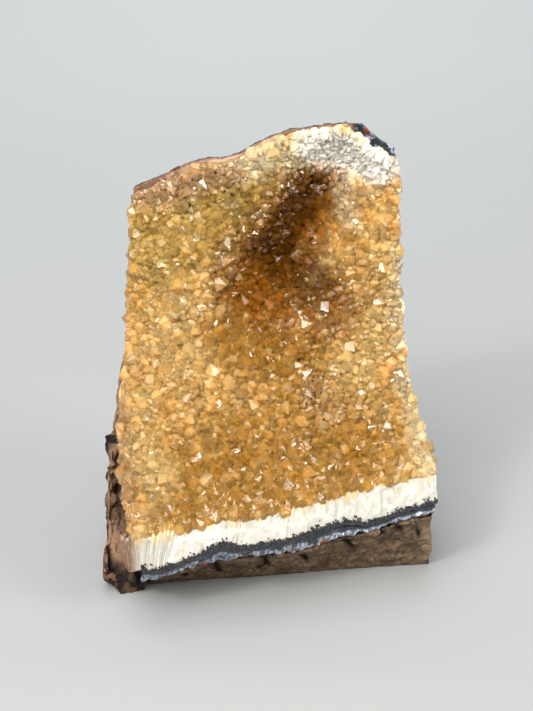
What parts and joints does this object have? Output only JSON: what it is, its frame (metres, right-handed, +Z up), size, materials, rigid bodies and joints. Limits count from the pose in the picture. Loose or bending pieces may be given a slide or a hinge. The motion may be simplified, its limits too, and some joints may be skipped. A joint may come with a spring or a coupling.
{
  "type": "citrine crystal cluster",
  "caption": "Standing piece of geode wall: golden quartz points on a milky quartz layer, an agate rind and basalt, sawn flat underneath so that it stands for display.",
  "frame": {"origin": "middle of the bounding box, on the plane of the sawn base", "axes": "+Z up, crystal face towards -Y, +X to the right when looking at the crystals"},
  "size_m": [0.104, 0.0939, 0.1378],
  "materials": {
    "basalt": "rough broken basalt with a sawn base",
    "agate": "dense dark blue-grey agate, slightly glossy",
    "citrine": "glossy quartz points, golden at the tips and milky white at the root"
  },
  "bodies": {
    "root": {"basalt_matrix": "basalt", "agate_rind": "agate", "citrine_crystals": "citrine"}
  },
  "joints": []
}
